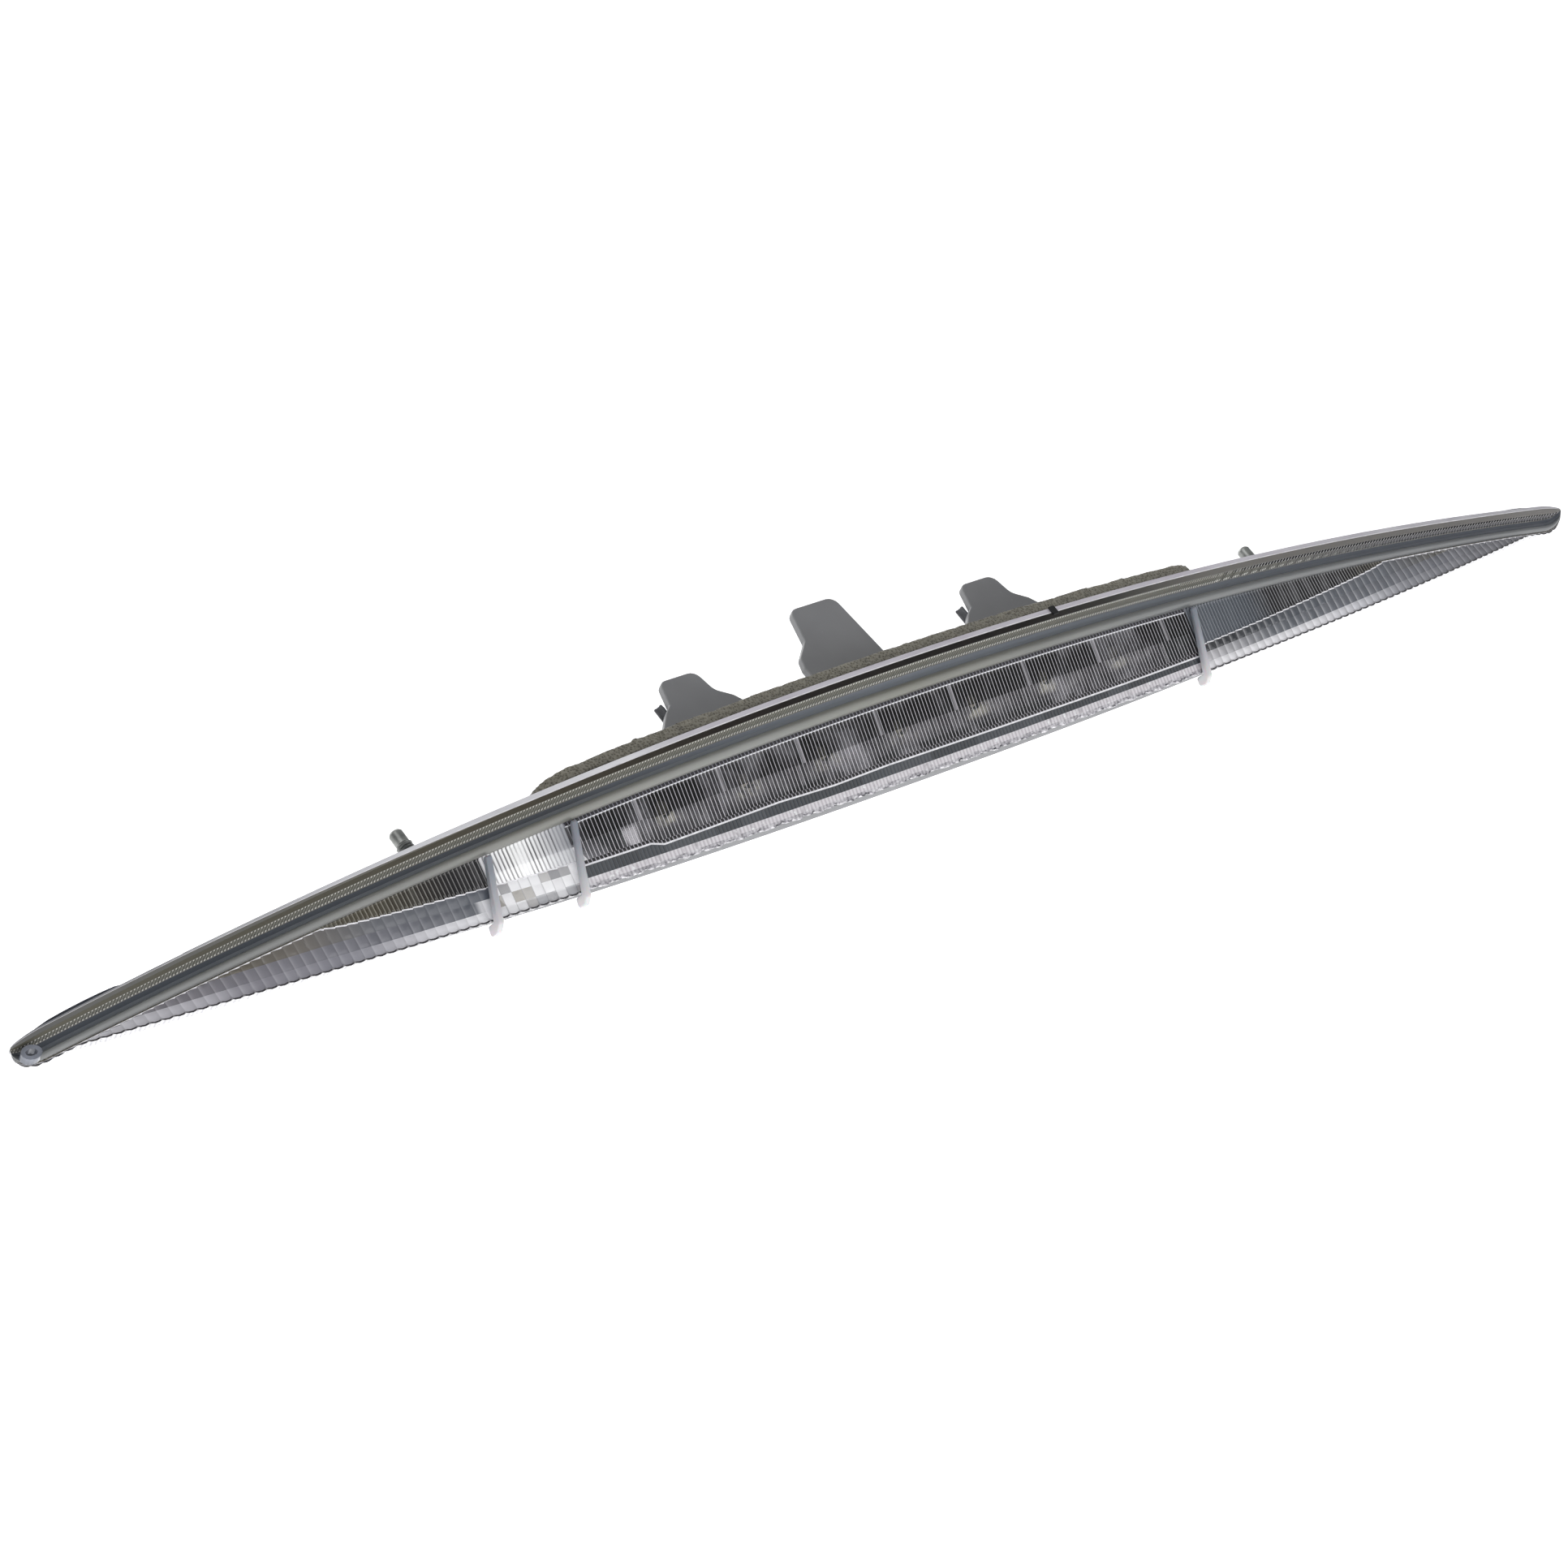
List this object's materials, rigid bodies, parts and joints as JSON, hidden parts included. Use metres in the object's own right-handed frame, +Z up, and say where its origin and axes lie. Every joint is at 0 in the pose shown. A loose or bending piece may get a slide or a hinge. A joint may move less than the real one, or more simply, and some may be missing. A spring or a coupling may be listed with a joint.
{
  "type": "third brake light",
  "caption": "Long slim clear high-level brake light: fluted outer lens over a reflector row on a grey housing, with foam gasket, guide tabs and threaded studs.",
  "frame": {"origin": "centre of the rear run of the foam gasket's sealing face, where the lamp seats against the body panel", "axes": "+X along the lamp to the right as seen from behind the car, +Y forward into the car body, +Z up as installed; the studs lean forward 35 degrees from +Z"},
  "size_m": [0.732, 0.0486, 0.0704],
  "materials": {
    "clear_lens": "clear moulded polycarbonate, fluted",
    "grey_plastic": "satin mid-grey moulding with fine grain",
    "frosted_plastic": "translucent, etched",
    "chrome": "vacuum-metallised reflector",
    "black_plastic": "black moulding",
    "circuit_board": "solder-masked glass-fibre board",
    "led_resin": "clear epoxy dome",
    "zinc_steel": "grey zinc-plated steel",
    "terminal_brass": "tinned brass blades",
    "foam": "open-cell foam, olive grey",
    "rubber": "dark soft rubber",
    "sealant": "grey hot-melt bead",
    "felt": "dark anti-rattle felt"
  },
  "bodies": {
    "root": {"board_screw_left": "zinc_steel", "board_screw_right": "zinc_steel", "connector_socket": "black_plastic", "driver_chip": "black_plastic", "fin_left_inner": "frosted_plastic", "fin_left_outer": "frosted_plastic", "fin_right": "frosted_plastic", "foam_gasket": "foam", "housing": "grey_plastic", "index_plug": "black_plastic", "led_1": "led_resin", "led_2": "led_resin", "led_3": "led_resin", "led_4": "led_resin", "led_5": "led_resin", "led_6": "led_resin", "led_7": "led_resin", "led_board": "circuit_board", "lens_seal": "sealant", "outer_lens": "clear_lens", "reflector": "chrome", "resistor_left": "black_plastic", "resistor_right": "black_plastic", "stop_left": "rubber", "stop_right": "rubber", "stud_collar_left": "frosted_plastic", "stud_collar_right": "frosted_plastic", "stud_left": "zinc_steel", "stud_right": "zinc_steel", "tab_centre": "grey_plastic", "tab_left": "grey_plastic", "tab_right": "grey_plastic", "terminal_left": "terminal_brass", "terminal_right": "terminal_brass", "tip_hook": "clear_lens", "tip_pad_left": "felt", "tip_pad_right": "felt", "vent_patch": "rubber", "wing_trim_left": "black_plastic", "wing_trim_right": "black_plastic"}
  },
  "joints": []
}
